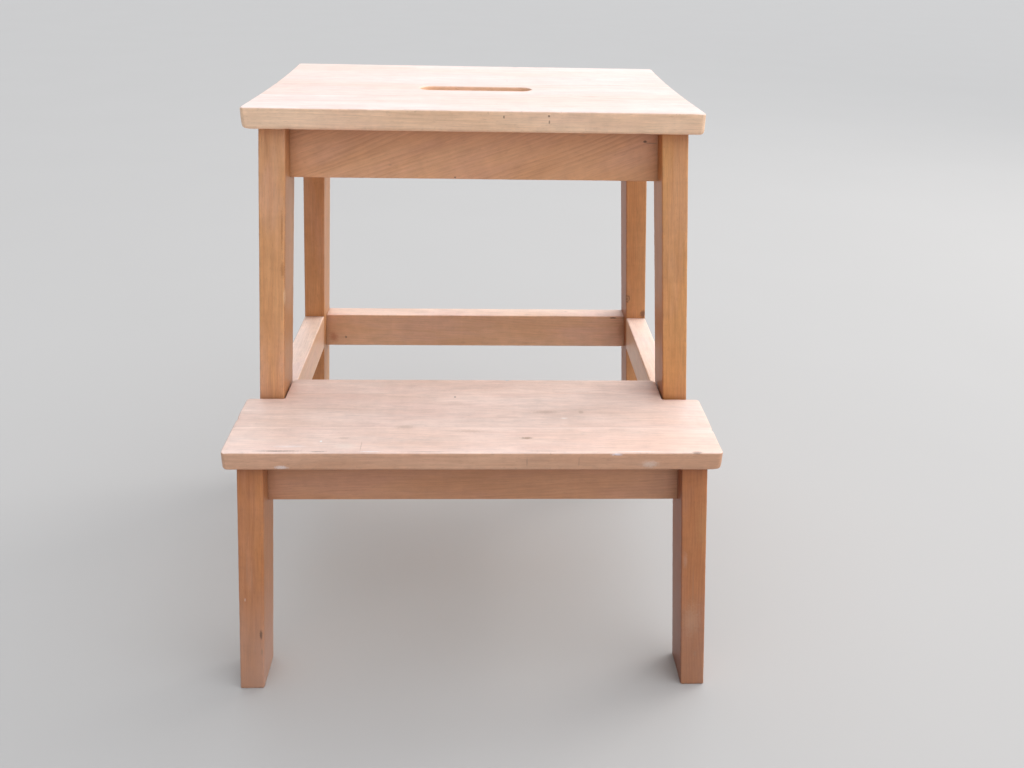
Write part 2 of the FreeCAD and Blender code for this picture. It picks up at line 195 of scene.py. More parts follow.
# ---------------------------------------------------------------- material tools
class Tree:
    """A short way to write a node tree."""

    def __init__(self, mat):
        mat.use_nodes = True
        self.t = mat.node_tree
        self.t.nodes.clear()
        self.out = self.new("ShaderNodeOutputMaterial")
        self.bsdf = self.new("ShaderNodeBsdfPrincipled")
        self.t.links.new(self.bsdf.outputs[0], self.out.inputs[0])

    def new(self, kind, **kw):
        n = self.t.nodes.new(kind)
        for k, v in kw.items():
            setattr(n, k, v)
        return n

    def put(self, sock, v):
        if isinstance(v, bpy.types.NodeSocket):
            self.t.links.new(v, sock)
        else:
            sock.default_value = v

    def m(self, op, a, b=0.0, c=0.0, clamp=False):
        n = self.new("ShaderNodeMath", operation=op, use_clamp=clamp)
        for s, v in zip(n.inputs, (a, b, c)):
            self.put(s, v)
        return n.outputs[0]

    def v(self, op, a, b=(0, 0, 0), scale=1.0):
        n = self.new("ShaderNodeVectorMath", operation=op)
        self.put(n.inputs[0], a)
        self.put(n.inputs[1], b)
        if op == "SCALE":
            self.put(n.inputs[3], scale)
        return n.outputs[1] if op in ("LENGTH", "DOT_PRODUCT", "DISTANCE") else n.outputs[0]

    def xyz(self, x, y, z):
        n = self.new("ShaderNodeCombineXYZ")
        for s, v in zip(n.inputs, (x, y, z)):
            self.put(s, v)
        return n.outputs[0]

    def split(self, a):
        n = self.new("ShaderNodeSeparateXYZ")
        self.put(n.inputs[0], a)
        return n.outputs

    def noise(self, vec, detail=2.0, rough=0.5, distortion=0.0, color=False):
        n = self.new("ShaderNodeTexNoise")
        n.noise_dimensions = "3D"
        self.put(n.inputs["Vector"], vec)
        n.inputs["Scale"].default_value = 1.0
        n.inputs["Detail"].default_value = detail
        n.inputs["Roughness"].default_value = rough
        n.inputs["Distortion"].default_value = distortion
        return n.outputs["Color"] if color else n.outputs["Fac"]

    def step(self, x, lo, hi, a=0.0, b=1.0):
        n = self.new("ShaderNodeMapRange", interpolation_type="SMOOTHSTEP")
        self.put(n.inputs["Value"], x)
        n.inputs["From Min"].default_value = lo
        n.inputs["From Max"].default_value = hi
        n.inputs["To Min"].default_value = a
        n.inputs["To Max"].default_value = b
        return n.outputs["Result"]

    def mix(self, f, a, b, mode="MIX"):
        n = self.new("ShaderNodeMix", data_type="RGBA", blend_type=mode)
        n.clamp_factor = True
        self.put(n.inputs[0], f)
        for s, v in ((n.inputs[6], a), (n.inputs[7], b)):
            self.put(s, v if isinstance(v, bpy.types.NodeSocket) else (*v, 1.0))
        return n.outputs[2]

    def attr(self, name):
        n = self.new("ShaderNodeAttribute", attribute_name=name)
        n.attribute_type = "GEOMETRY"
        return n.outputs["Fac"]


def basis(axis, side):
    """The grain's own axes: along it, across it, and through it."""
    a = Vector(axis).normalized()
    b = Vector(side)
    b = (b - a * b.dot(a)).normalized()
    return a, b, a.cross(b)


def wood(name, axis, side, offset, pith, ring, light, mid, dark, pink=None, ring_k=0.35, fibre_k=0.5, streak_k=0.5,
         dirt_k=0.0, rough=0.42, coat=0.12, edge=(1.10, 1.08, 1.06), staves=None, marks=(), wobble=9.0, patch_k=0.5, figure=0.05,
         up=None, foot_shade=None, joint_grime_and_shade_k=1.0, leaning=False, inner_face_light_and_shade=None):
    """Wood with real grain in space: growth rings round a pith line, fibres and pores along the grain, so that faces, edges and
    end grain agree with each other. Lengths are millimetres."""
    mat = bpy.data.materials.new(name)
    t = Tree(mat)
    pos = t.v("SCALE", t.new("ShaderNodeTexCoord").outputs["Object"], scale=1000.0)
    a, b, c = basis(axis, side)
    u, v, w = (t.v("DOT_PRODUCT", pos, tuple(k)) for k in (a, b, c))
    extra = 0.0
    if staves:
        # edge-glued staves: each has its own tree
        across, width = staves
        s = t.m("DIVIDE", t.v("DOT_PRODUCT", pos, tuple(Vector(across))), width)
        sid = t.m("FLOOR", t.m("ADD", s, 40.37))
        wn = t.new("ShaderNodeTexWhiteNoise", noise_dimensions="1D")
        t.put(wn.inputs["W"], sid)
        extra = wn.outputs["Value"]
        jump = t.v("SCALE", t.v("SUBTRACT", wn.outputs["Color"], (0.5, 0.5, 0.5)), scale=1.0)
        jump = t.v("MULTIPLY", jump, (900.0, 60.0, 26.0))
        fr = t.m("FRACT", t.m("ADD", s, 40.37))
        seam = t.m("MINIMUM", fr, t.m("SUBTRACT", 1.0, fr))
        seam = t.step(seam, 0.0, 0.006, 1.0, 0.0)
    P = t.v("ADD", t.xyz(u, v, w), offset)
    if staves:
        P = t.v("ADD", P, jump)
    n1 = t.noise(t.v("MULTIPLY", P, (0.0032, 0.014, 0.014)), 2.0, 0.5, color=True)
    n2 = t.noise(t.v("MULTIPLY", P, (0.014, 0.085, 0.085)), 2.0, 0.55, color=True)
    Q = t.v("ADD", P, t.v("SCALE", t.v("SUBTRACT", n1, (0.5, 0.5, 0.5)), scale=2.0 * wobble))
    Q = t.v("ADD", Q, t.v("SCALE", t.v("SUBTRACT", n2, (0.5, 0.5, 0.5)), scale=2.6))
    q = t.split(Q)
    r = t.v("LENGTH", t.xyz(0.0, t.m("SUBTRACT", q[1], pith[0]), t.m("SUBTRACT", q[2], pith[1])))
    slow = t.noise(t.v("MULTIPLY", P, (0.0045, 0.022, 0.022)), 3.0, 0.55)
    rr = t.m("ADD", t.m("DIVIDE", r, ring), t.m("MULTIPLY", slow, 2.2))
    f = t.m("FRACT", rr)
    wr = t.new("ShaderNodeTexWhiteNoise", noise_dimensions="1D")
    t.put(wr.inputs["W"], t.m("FLOOR", rr))
    late = t.m("MULTIPLY", t.step(f, 0.15, 0.84), t.step(f, 0.84, 1.0, 1.0, 0.0))
    late = t.m("MULTIPLY", late, t.m("MULTIPLY_ADD", wr.outputs["Value"], 0.85, 0.15))
    fade = t.step(t.noise(t.v("ADD", t.v("MULTIPLY", P, (0.0075, 0.034, 0.034)), (3.1, 8.7, 5.2)), 2.0, 0.5), 0.36, 0.62, 0.18, 1.0)
    late = t.m("MULTIPLY", late, fade)
    fib = t.noise(t.v("MULTIPLY", P, (0.040, 0.95, 0.95)), 5.0, 0.72)
    streak = t.noise(t.v("MULTIPLY", P, (0.0125, 0.26, 0.26)), 5.0, 0.66, 0.25)
    mottle = t.noise(t.v("ADD", t.v("MULTIPLY", P, (0.055, 0.13, 0.13)), (11.0, 2.0, 6.0)), 4.0, 0.62)
    pore = t.step(t.noise(t.v("MULTIPLY", P, (0.20, 2.7, 2.7)), 1.0, 0.5), 0.655, 0.74)
    fig = t.noise(t.v("MULTIPLY", P, (0.085, 0.020, 0.020)), 3.0, 0.55, 0.8)
    patch = t.noise(t.v("ADD", t.v("MULTIPLY", P, (0.0085, 0.030, 0.030)), (7.3, 1.9, 4.4)), 3.0, 0.6)
    col = t.mix(t.step(slow, 0.33, 0.67), light, mid)
    if pink:
        col = t.mix(t.m("MULTIPLY", t.step(patch, 0.44, 0.70), patch_k), col, pink)
    col = t.mix(t.m("MULTIPLY", late, ring_k), col, dark)
    col = t.mix(t.m("MULTIPLY", t.step(streak, 0.46, 0.74), streak_k), col, dark)
    g = t.m("ADD", t.m("MULTIPLY", t.m("SUBTRACT", fib, 0.5), fibre_k), t.m("MULTIPLY", t.m("SUBTRACT", fig, 0.5), figure * 2))
    g = t.m("ADD", g, t.m("MULTIPLY", t.m("SUBTRACT", streak, 0.5), 0.30 * streak_k))
    g = t.m("ADD", g, t.m("MULTIPLY", t.m("SUBTRACT", mottle, 0.5), 0.30))
    if staves:
        g = t.m("ADD", g, t.m("MULTIPLY", t.m("SUBTRACT", extra, 0.5), 0.075))
    col = t.v("SCALE", col, scale=t.m("ADD", 1.0, g))
    col = t.mix(t.m("MULTIPLY", pore, 0.30), col, tuple(x * 0.55 for x in dark))
    if staves:
        col = t.mix(t.m("MULTIPLY", seam, 0.22), col, tuple(x * 0.7 for x in dark))
    height = t.m("ADD", t.m("MULTIPLY", fib, 0.030), t.m("MULTIPLY", streak, 0.050))
    height = t.m("SUBTRACT", height, t.m("MULTIPLY", pore, 0.045))
    height = t.m("ADD", height, t.m("MULTIPLY", t.noise(t.v("SCALE", pos, scale=0.035), 2.0, 0.5), 0.35))
    rgh = t.m("ADD", rough, t.m("MULTIPLY", t.m("SUBTRACT", fib, 0.5), 0.18))
    rgh = t.m("ADD", rgh, t.m("MULTIPLY", t.m("SUBTRACT", patch, 0.5), 0.22))
    if dirt_k:
        d1 = t.noise(t.v("MULTIPLY", pos, (0.020, 0.050, 0.050)), 5.0, 0.70)
        d2 = t.noise(t.v("MULTIPLY", P, (0.09, 0.55, 0.55)), 4.0, 0.65)
        d = t.m("MULTIPLY", t.step(d1, 0.47, 0.70), t.step(d2, 0.36, 0.66, 0.25, 1.0))
        col = t.mix(t.m("MULTIPLY", d, dirt_k), col, (0.36, 0.235, 0.165))
        rgh = t.m("ADD", rgh, t.m("MULTIPLY", d, 0.10))
    if up:
        # painted light from above, partly real wear: the faces that look up are made paler and cooler than the sides,
        # as if lit by the sky overhead, and stepped-on, dusted-off treads have also lost some of their golden finish
        nz = t.split(t.new("ShaderNodeNewGeometry").outputs["Normal"])[2]
        up_face_light_and_wear = t.m("MULTIPLY", t.step(nz, 0.45, 0.93), t.m("MULTIPLY_ADD", patch, -0.5, 1.2), clamp=True)
        col = t.mix(up_face_light_and_wear, col, t.v("MULTIPLY", col, up))
        rgh = t.m("ADD", rgh, t.m("MULTIPLY", up_face_light_and_wear, 0.06))
    # painted shade: the legs darken towards the floor, over the lowest 150 mm
    if foot_shade:
        foot_shade_mask = t.m("MULTIPLY", t.step(t.split(pos)[2], 0.0, 150.0, 1.0, 0.0), t.m("MULTIPLY_ADD", patch, 0.8, 0.25), clamp=True)
        col = t.mix(t.m("MULTIPLY", foot_shade_mask, 0.8), col, foot_shade)
    if inner_face_light_and_shade:
        # painted light and shade on the leg faces that look at each other across the stool: most are darkened and made
        # more golden as if in shade, the rear left one is lightened and cooled as if lit from the right
        way, k = inner_face_light_and_shade
        nx = t.m("MULTIPLY", t.split(t.new("ShaderNodeNewGeometry").outputs["Normal"])[0], way)
        col = t.mix(t.step(nx, 0.55, 0.95), col, t.v("MULTIPLY", col, k))
    if not staves:
        # painted shade: where a board overhangs, the colour is darkened and reddened as if in the board's shade
        col = t.mix(t.m("MULTIPLY", t.attr("overhang_painted_shade"), 0.85), col, t.v("MULTIPLY", col, (0.74, 0.64, 0.58)))
    wear = t.attr("wear")
    joint_grime_and_shade = t.attr("joint_grime_and_shade")
    wn2 = t.noise(t.v("SCALE", pos, scale=0.16), 3.0, 0.6)
    worn = t.m("MULTIPLY", wear, t.step(wn2, 0.40, 0.62))
    col = t.mix(t.m("MULTIPLY", worn, 0.75), col, t.v("MULTIPLY", col, edge))
    nick = t.m("MULTIPLY", wear, t.step(t.noise(t.v("SCALE", pos, scale=0.33), 2.0, 0.6), 0.66, 0.72))
    col = t.mix(t.m("MULTIPLY", nick, 0.22), col, (0.22, 0.13, 0.08))
    # grime and painted contact shade where members meet
    col = t.mix(t.m("MULTIPLY", joint_grime_and_shade, t.m("MULTIPLY_ADD", wn2, 0.35 * joint_grime_and_shade_k, 0.22 * joint_grime_and_shade_k)), col, (0.17, 0.085, 0.045))
    rgh = t.m("ADD", rgh, t.m("MULTIPLY", worn, 0.14))
    for at, size, tint, k, soft in marks:
        rel = t.v("SUBTRACT", pos, at)
        if leaning:
            rel = t.xyz(t.v("DOT_PRODUCT", rel, tuple(b)), t.v("DOT_PRODUCT", rel, tuple(c)), t.v("DOT_PRODUCT", rel, tuple(a)))
        d = t.v("MULTIPLY", rel, tuple(1.0 / s for s in size))
        wob = t.noise(t.v("SCALE", pos, scale=2.2 / max(2.0, min(size) * 1.2)), 3.0, 0.6)
        d = t.m("ADD", t.v("LENGTH", d), t.m("MULTIPLY", t.m("SUBTRACT", wob, 0.5), 1.1))
        mask = t.step(d, 1.0 - soft, 1.0, 1.0, 0.0)
        col = t.mix(t.m("MULTIPLY", mask, k), col, tint)
        rgh = t.m("ADD", rgh, t.m("MULTIPLY", mask, 0.10))
    t.put(t.bsdf.inputs["Base Color"], col)
    t.put(t.bsdf.inputs["Roughness"], t.m("MINIMUM", t.m("MAXIMUM", rgh, 0.12), 0.95))
    bump = t.new("ShaderNodeBump")
    bump.inputs["Strength"].default_value = 0.55
    bump.inputs["Distance"].default_value = 0.001
    t.put(bump.inputs["Height"], height)
    t.put(t.bsdf.inputs["Normal"], bump.outputs[0])
    t.bsdf.inputs["IOR"].default_value = 1.48
    t.bsdf.inputs["Coat Weight"].default_value = coat
    t.bsdf.inputs["Coat Roughness"].default_value = 0.32
    return mat


def steel(name):
    """Zinc-plated steel: turned marks round each fastener's own axis would not read at this size, so fine brushed noise and dull spots."""
    mat = bpy.data.materials.new(name)
    t = Tree(mat)
    pos = t.v("SCALE", t.new("ShaderNodeTexCoord").outputs["Object"], scale=1000.0)
    spots = t.noise(t.v("SCALE", pos, scale=0.45), 4.0, 0.6)
    brush = t.noise(t.v("MULTIPLY", pos, (0.25, 5.0, 5.0)), 3.0, 0.6)
    col = t.mix(t.step(spots, 0.42, 0.66), (0.66, 0.67, 0.67), (0.44, 0.44, 0.43))
    t.put(t.bsdf.inputs["Base Color"], col)
    t.bsdf.inputs["Metallic"].default_value = 1.0
    r = t.m("ADD", t.step(spots, 0.35, 0.7, 0.26, 0.46), t.m("MULTIPLY", t.m("SUBTRACT", brush, 0.5), 0.2))
    t.put(t.bsdf.inputs["Roughness"], r)
    bump = t.new("ShaderNodeBump")
    bump.inputs["Strength"].default_value = 0.35
    bump.inputs["Distance"].default_value = 0.001
    t.put(bump.inputs["Height"], t.m("MULTIPLY", brush, 0.03))
    t.put(t.bsdf.inputs["Normal"], bump.outputs[0])
    return mat


# ---------------------------------------------------------------- the wooden members
LEAN, RAKE = 0.0875, 0.068
X, Y, Z = (1, 0, 0), (0, 1, 0), (0, 0, 1)


def leg_axis(sx, sy):
    return (-sx * LEAN, sy * RAKE, 1.0)


def tinted(base, k):
    """The same wood, warmer or paler: every colour of the palette times k. Used for lit and shaded copies of one wood,
    as painted light and shade.
    """
    d = dict(base)
    for c in ("light", "mid", "dark", "pink"):
        d[c] = tuple(x * y for x, y in zip(base[c], k))
    return d


GOLD = dict(light=(0.780, 0.430, 0.195), mid=(0.700, 0.350, 0.140), dark=(0.490, 0.200, 0.070), pink=(0.740, 0.415, 0.245),
            ring_k=0.30, fibre_k=0.56, streak_k=0.42, rough=0.45, coat=0.08, patch_k=0.8, figure=0.09, joint_grime_and_shade_k=0.3)
# up: painted light from above, partly real wear, on the faces that look up
RAIL = dict(light=(0.740, 0.435, 0.245), mid=(0.670, 0.365, 0.185), dark=(0.490, 0.235, 0.110), pink=(0.700, 0.400, 0.255),
            ring_k=0.24, fibre_k=0.50, streak_k=0.30, rough=0.40, coat=0.15, patch_k=0.7, figure=0.08, joint_grime_and_shade_k=0.8, up=(1.16, 1.42, 1.82))
PALE = dict(light=(0.900, 0.620, 0.430), mid=(0.850, 0.545, 0.350), dark=(0.600, 0.345, 0.205), pink=(0.870, 0.565, 0.400),
            ring_k=0.24, fibre_k=0.54, streak_k=0.32, rough=0.42, coat=0.10, patch_k=0.8, joint_grime_and_shade_k=0.3, up=(0.95, 1.08, 1.40))
STEP = dict(light=(0.642, 0.373, 0.244), mid=(0.588, 0.313, 0.191), dark=(0.381, 0.182, 0.102), pink=(0.604, 0.331, 0.218),
            ring_k=0.16, fibre_k=0.52, streak_k=0.25, rough=0.42, coat=0.14, patch_k=0.6, joint_grime_and_shade_k=0.3, up=(1.34, 1.77, 2.32))
# per-member tints, mostly painted light and shade: the lower legs, rear legs and step apron darkened as painted shade,
# the side rails and rear rail lightened and cooled as painted light from above
LIGHT_AND_SHADE_TINT = {"upper_front_leg_left": (0.96, 0.92, 0.98), "upper_front_leg_right": (0.90, 0.79, 0.66), "lower_front_leg_left": (0.69, 0.52, 0.43),
        "lower_front_leg_right": (0.65, 0.47, 0.40), "rear_leg_left": (0.80, 0.66, 0.58), "rear_leg_right": (0.78, 0.66, 0.58),
        "step_apron": (0.75, 0.63, 0.61), "front_apron": (1.02, 0.95, 0.95), "rear_rail": (1.02, 1.02, 1.12),
        "side_rail_left": (1.07, 1.13, 1.30), "side_rail_right": (1.08, 1.12, 1.28)}

# painted light and shade per leg on its inner face: below 1 darkens as painted shade, above 1 lightens and cools as
# painted light
INNER_FACE_LIGHT_AND_SHADE = {"upper_front_leg_left": (0.76, 0.71, 0.60), "upper_front_leg_right": (0.75, 0.62, 0.47), "rear_leg_left": (0.96, 1.06, 1.15),
         "rear_leg_right": (0.69, 0.53, 0.44), "lower_front_leg_left": (0.93, 0.95, 0.98), "lower_front_leg_right": (0.74, 0.62, 0.63)}
# painted shade colours for the lowest part of each leg
FOOT_SHADE = {"lower_front_leg_left": (0.455, 0.288, 0.228), "lower_front_leg_right": (0.280, 0.145, 0.105), "rear_leg_left": (0.46, 0.30, 0.24),
        "rear_leg_right": (0.46, 0.30, 0.24)}

MARK_BROWN, MARK_DARK, MARK_WHITE, MARK_GREY = (0.33, 0.20, 0.13), (0.10, 0.055, 0.035), (0.93, 0.91, 0.89), (0.50, 0.46, 0.44)

legs = {}
for side, sx in (("left", -1), ("right", 1)):
    for kind, sy, seed in (("lower_front_leg", 1, 11.0), ("upper_front_leg", 1, 23.0), ("rear_leg", -1, 37.0)):
        n = f"{kind}_{side}"
        s = seed + (50.0 if sx > 0 else 0.0)
        marks = []
        if n == "lower_front_leg_left":
            marks = [((-190.4, -190.9, 60.8), (1.6, 3.0, 7.0), MARK_DARK, 0.75, 0.7), ((-191.3, -192.1, 42.0), (1.2, 3, 5), MARK_BROWN, 0.7, 0.7),
                     ((-200.7, -188.3, 98.8), (0.8, 2.0, 2.5), MARK_WHITE, 0.25, 0.7), ((-196.0, -187.0, 130.0), (0.7, 3, 26), MARK_BROWN, 0.35, 0.8),
                     ((-192.5, -187.0, 122.0), (0.6, 3, 18), MARK_BROWN, 0.35, 0.8), ((-207.0, -180.0, 215.0), (6.0, 4, 20), (0.50, 0.27, 0.13), 0.40, 0.9)]
        if n == "lower_front_leg_right":
            marks = [((200.0, -182.0, 205.0), (3.0, 4, 16), (0.42, 0.20, 0.09), 0.45, 0.9), ((194.0, -188.0, 110.0), (0.7, 3, 30), MARK_BROWN, 0.35, 0.8),
                     ((203.0, -192.0, 36.0), (2.2, 3, 5), MARK_BROWN, 0.35, 0.8), ((196.0, -190.1, 74.0), (12.0, 4, 26), (0.50, 0.33, 0.23), 0.30, 0.9),
                     ((184.5, -185.6, 138.0), (2.6, 3, 12), (0.62, 0.47, 0.40), 0.20, 0.9), ((197.0, -183.0, 172.0), (9.0, 4, 32), (0.52, 0.27, 0.10), 0.28, 0.95)]
        if n == "upper_front_leg_left":
            # a brown vein on the front, and a dark line down the inner arris
            marks = [((-160.6, -80.6, 400.0), (1.2, 4, 26), (0.42, 0.17, 0.055), 0.70, 0.8), ((-162.9, -82.4, 366.0), (2.6, 4, 10), (0.42, 0.17, 0.055), 0.62, 0.8),
                     ((-163.4, -83.5, 342.0), (1.3, 4, 10), (0.86, 0.58, 0.36), 0.55, 0.7),
                     ((-(215 - 0.0875 * 352 - 22.3), -83.3, 352.0), (0.9, 1.5, 100), (0.20, 0.09, 0.04), 0.80, 0.6)]
        if n == "upper_front_leg_right":
            marks = [((178.0, -82.0, 380.0), (1.3, 4, 34), (0.46, 0.22, 0.08), 0.40, 0.8), ((186.0, -88.0, 290.0), (1.0, 4, 24), (0.46, 0.22, 0.08), 0.40, 0.8)]
        if n == "rear_leg_right":
            # a ring knot on the front, and a dark knot running round the outer arris
            marks = [((171.6, 136.2, 255.6), (4.0, 5, 5.4), (0.15, 0.060, 0.030), 0.90, 0.35), ((171.6, 136.2, 255.8), (2.7, 5, 3.9), (0.50, 0.25, 0.12), 0.85, 0.4),
                     ((171.6, 136.2, 255.4), (1.1, 5, 1.5), (0.16, 0.07, 0.035), 0.8, 0.5), ((171.6, 136.2, 255.6), (7.0, 5, 15), (0.40, 0.19, 0.09), 0.30, 0.9),
                     ((191.5, 137.5, 237.0), (4.0, 5, 6.4), (0.20, 0.085, 0.040), 0.88, 0.6), ((190.0, 137.5, 226.0), (2.2, 5, 3.0), MARK_DARK, 0.6, 0.7)]
        legs[n] = wood("wood_" + n, leg_axis(sx, sy), X, (s * 31.0, s * 7.0, s * 3.0), (38.0 + s % 7 * 6 - 30, 46.0 + s % 5 * 9), 2.3 + (s % 3) * 0.35,
                       marks=marks, leaning=True, foot_shade=FOOT_SHADE.get(n), inner_face_light_and_shade=(-sx, INNER_FACE_LIGHT_AND_SHADE[n]), **tinted(GOLD, LIGHT_AND_SHADE_TINT.get(n, (1, 1, 1))))
        o = wood_piece(n, [((sx * LEAN * 0, 0, 1), 0.0036), (X, 0.0040), (Y, 0.0044)], wear=1.0, seed=s)
        o.data.materials.clear()
        o.data.materials.append(legs[n])

rails = {
    "side_rail_left": (Y, Z, 61.0), "side_rail_right": (Y, Z, 67.0),
    "top_side_rail_left": (Y, Z, 71.0), "top_side_rail_right": (Y, Z, 73.0),
    "front_apron": ((1, 0, 0.36), Z, 83.0), "rear_apron": ((1, 0, -0.05), Z, 89.0),
    "step_apron": ((1, 0, 0.03), Z, 97.0), "rear_rail": ((1, 0, -0.03), Z, 101.0),
}
for n, (ax, sd, s) in rails.items():
    marks = []
    extra = {}
    if n == "front_apron":
        marks = [((140.7, -58.2, 471.8), (2.2, 3, 1.3), MARK_DARK, 0.85, 0.6), ((146.5, -58.2, 470.6), (6.0, 3, 0.7), MARK_BROWN, 0.75, 0.7),
                 ((-17.0, -58.2, 440.2), (1.0, 3, 1.0), MARK_DARK, 0.8, 0.6), ((-70.9, -58.2, 450.0), (2.2, 3, 1.0), MARK_BROWN, 0.35, 0.8),
                 ((88.0, -58.2, 476.0), (4.2, 3, 0.7), MARK_BROWN, 0.4, 0.7)]
        extra = dict(ring_k=0.50, streak_k=0.16, wobble=14.0)
    if n == "rear_rail":
        marks = [((-152.9, 156.8, 197.4), (1.6, 3, 2.2), MARK_DARK, 0.65, 0.7), ((-167.0, 156.8, 197.5), (7, 4, 9), (0.46, 0.17, 0.08), 0.70, 0.9),
                 ((160.6, 156.8, 223.6), (5.5, 5, 1.1), MARK_DARK, 0.9, 0.6), ((60.0, 162.0, 225.6), (6.0, 1.2, 1.5), MARK_BROWN, 0.5, 0.8), ((106.0, 170.0, 225.6), (3.0, 1.0, 1.5), MARK_DARK, 0.5, 0.7), ((172.5, 158, 208.0), (7, 6, 14), (0.42, 0.19, 0.09), 0.5, 0.9)]
    kw = tinted(RAIL, LIGHT_AND_SHADE_TINT.get(n, (1, 1, 1)))
    kw.update(extra)
    mat = wood("wood_" + n, ax, sd, (s * 29.0, s * 5.0, s * 2.0), (20.0 + s % 5 * 7, 36.0 + s % 7 * 8), 2.6 + (s % 4) * 0.3, marks=marks, **kw)
    along = X if "apron" in n or n == "rear_rail" else Y
    other = Y if along == X else X
    o = wood_piece(n, [(along, 0.0042), (Z, 0.0045), (other, 0.0048)], wear=0.8, seed=s)
    o.data.materials.clear()
    o.data.materials.append(mat)

top_marks = [
    ((-82.5, 124.8, 500.0), (5.0, 3.2, 4.0), MARK_GREY, 0.30, 0.9), ((29.0, 70.1, 500.0), (0.9, 9.0, 3.0), MARK_GREY, 0.45, 0.7),
    ((81.6, -5.7, 500.0), (3.5, 1.2, 3.0), MARK_BROWN, 0.45, 0.7), ((106.5, -29.3, 500.0), (24.0, 5.0, 3.0), (0.66, 0.40, 0.30), 0.35, 0.9),
    ((98.0, -12.0, 500.0), (11.0, 2.0, 3.0), (0.52, 0.33, 0.25), 0.40, 0.9), ((162.8, 29.5, 500.0), (1.6, 1.6, 3.0), MARK_GREY, 0.55, 0.6),
    ((22.6, -87.2, 495.3), (0.8, 3.0, 1.5), MARK_DARK, 0.7, 0.5), ((57.9, -87.2, 496.4), (1.2, 3.0, 1.0), MARK_DARK, 0.75, 0.5),
    ((58.4, -87.2, 491.8), (0.7, 3.0, 1.8), MARK_DARK, 0.65, 0.5),
]
mat = wood("wood_top_board", (1, 0.012, 0), Y, (311.0, 77.0, 40.0), (10.0, 58.0), 3.1, staves=(Y, 64.7), dirt_k=0.10, marks=top_marks, **PALE)
TOP_DENTS = [
    ((0.0226, -0.0872, 0.4985), 0.0022, 0.0005), ((0.0579, -0.0872, 0.4975), 0.0028, 0.0007), ((-0.0810, -0.0866, 0.4997), 0.0030, 0.0005),
    ((0.1320, -0.0870, 0.4840), 0.0032, 0.0006), ((-0.1480, -0.0868, 0.4836), 0.0036, 0.0007), ((0.1826, 0.1390, 0.4995), 0.0030, 0.0006),
    ((-0.1810, 0.0400, 0.4992), 0.0030, 0.0006), ((0.1795, -0.0845, 0.4990), 0.0030, 0.0008), ((-0.1805, -0.0850, 0.4850), 0.0034, 0.0008),
    ((0.0400, 0.1712, 0.4988), 0.0034, 0.0006), ((-0.1120, 0.1712, 0.4850), 0.0034, 0.0006),
]
o = wood_piece("top_board", [(X, 0.0045), (Y, 0.0046), (Z, 0.0060)], wear=1.0, seed=4.0, dents=TOP_DENTS)
o.data.materials.clear()
o.data.materials.append(mat)

